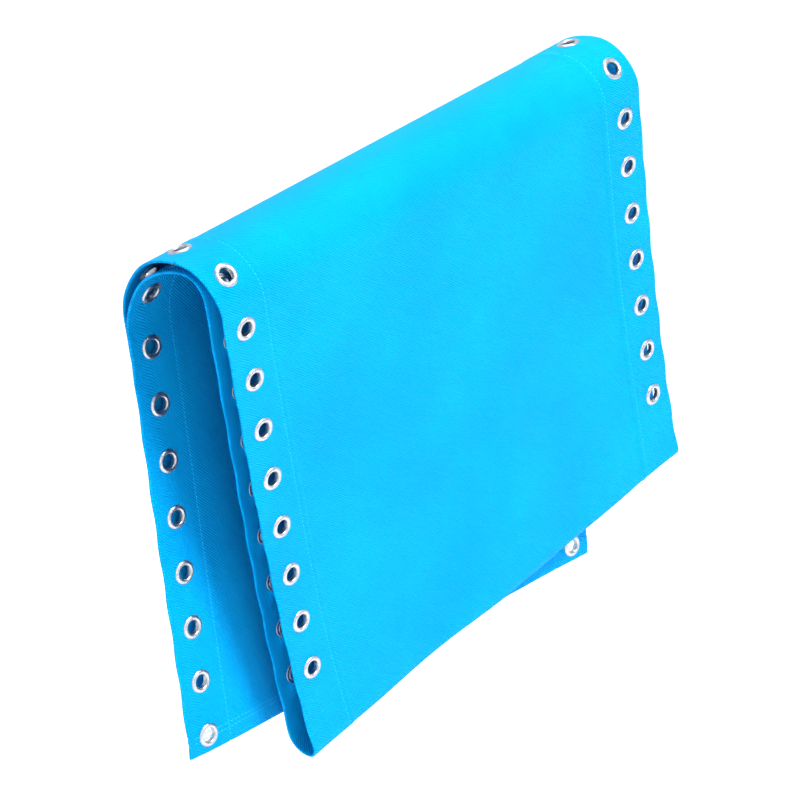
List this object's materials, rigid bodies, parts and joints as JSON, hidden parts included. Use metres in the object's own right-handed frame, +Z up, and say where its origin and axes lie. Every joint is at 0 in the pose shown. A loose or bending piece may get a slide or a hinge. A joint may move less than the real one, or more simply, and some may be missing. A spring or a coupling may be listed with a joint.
{
  "type": "fabric welding curtain",
  "caption": "Cyan coated-cloth welding curtain with eyeletted side hems, folded double and draped over a rail as two hanging legs.",
  "frame": {"origin": "mid-width point of the inner crown's underside, where the support carries the cloth", "axes": "+X along the support, +Y to the back, +Z up"},
  "size_m": [0.6124, 0.1101, 0.5118],
  "materials": {
    "cloth_outer": "coated twill with a soft sheen",
    "cloth_inner": "coated twill with a soft sheen",
    "eyelet": "polished nickel plate"
  },
  "bodies": {
    "saddle": {"outer_saddle": "cloth_outer", "inner_saddle": "cloth_inner"},
    "front_leg": {"front_bottom_fold": "cloth_outer", "outer_front_leaf": "cloth_outer", "outer_front_eyelet_left_1": "eyelet", "outer_front_eyelet_left_2": "eyelet", "outer_front_eyelet_left_3": "eyelet", "outer_front_eyelet_left_4": "eyelet", "outer_front_eyelet_left_5": "eyelet", "outer_front_eyelet_left_6": "eyelet", "outer_front_eyelet_left_7": "eyelet", "outer_front_eyelet_left_8": "eyelet", "outer_front_eyelet_right_1": "eyelet", "outer_front_eyelet_right_2": "eyelet", "outer_front_eyelet_right_3": "eyelet", "outer_front_eyelet_right_4": "eyelet", "outer_front_eyelet_right_5": "eyelet", "outer_front_eyelet_right_6": "eyelet", "outer_front_eyelet_right_7": "eyelet", "inner_front_leaf": "cloth_inner", "inner_front_eyelet_left_1": "eyelet", "inner_front_eyelet_left_2": "eyelet", "inner_front_eyelet_left_3": "eyelet", "inner_front_eyelet_left_4": "eyelet", "inner_front_eyelet_left_5": "eyelet", "inner_front_eyelet_left_6": "eyelet", "inner_front_eyelet_left_7": "eyelet", "inner_front_eyelet_left_8": "eyelet", "inner_front_eyelet_right_1": "eyelet", "inner_front_eyelet_right_2": "eyelet", "inner_front_eyelet_right_3": "eyelet", "inner_front_eyelet_right_4": "eyelet", "inner_front_eyelet_right_5": "eyelet", "inner_front_eyelet_right_6": "eyelet", "inner_front_eyelet_right_7": "eyelet"},
    "back_leg": {"inner_back_leaf": "cloth_inner", "inner_back_eyelet_left_1": "eyelet", "inner_back_eyelet_left_2": "eyelet", "inner_back_eyelet_left_3": "eyelet", "inner_back_eyelet_left_4": "eyelet", "inner_back_eyelet_left_5": "eyelet", "inner_back_eyelet_left_6": "eyelet", "inner_back_eyelet_left_7": "eyelet", "inner_back_eyelet_left_8": "eyelet", "inner_back_eyelet_right_1": "eyelet", "inner_back_eyelet_right_2": "eyelet", "inner_back_eyelet_right_3": "eyelet", "inner_back_eyelet_right_4": "eyelet", "inner_back_eyelet_right_5": "eyelet", "inner_back_eyelet_right_6": "eyelet", "inner_back_eyelet_right_7": "eyelet", "inner_back_eyelet_right_8": "eyelet", "inner_back_eyelet_right_9": "eyelet", "outer_back_leaf": "cloth_outer"}
  },
  "joints": [
    {"name": "front_leg_swing", "type": "hinge", "parent": "saddle", "child": "front_leg", "pos_m": [0, -0.03567, -0.02368], "axis": [-1, 0, 0], "range_deg": [0, 35]},
    {"name": "back_leg_swing", "type": "hinge", "parent": "saddle", "child": "back_leg", "pos_m": [0, 0.06962, -0.03479], "axis": [1, 0, 0], "range_deg": [0, 35]}
  ]
}
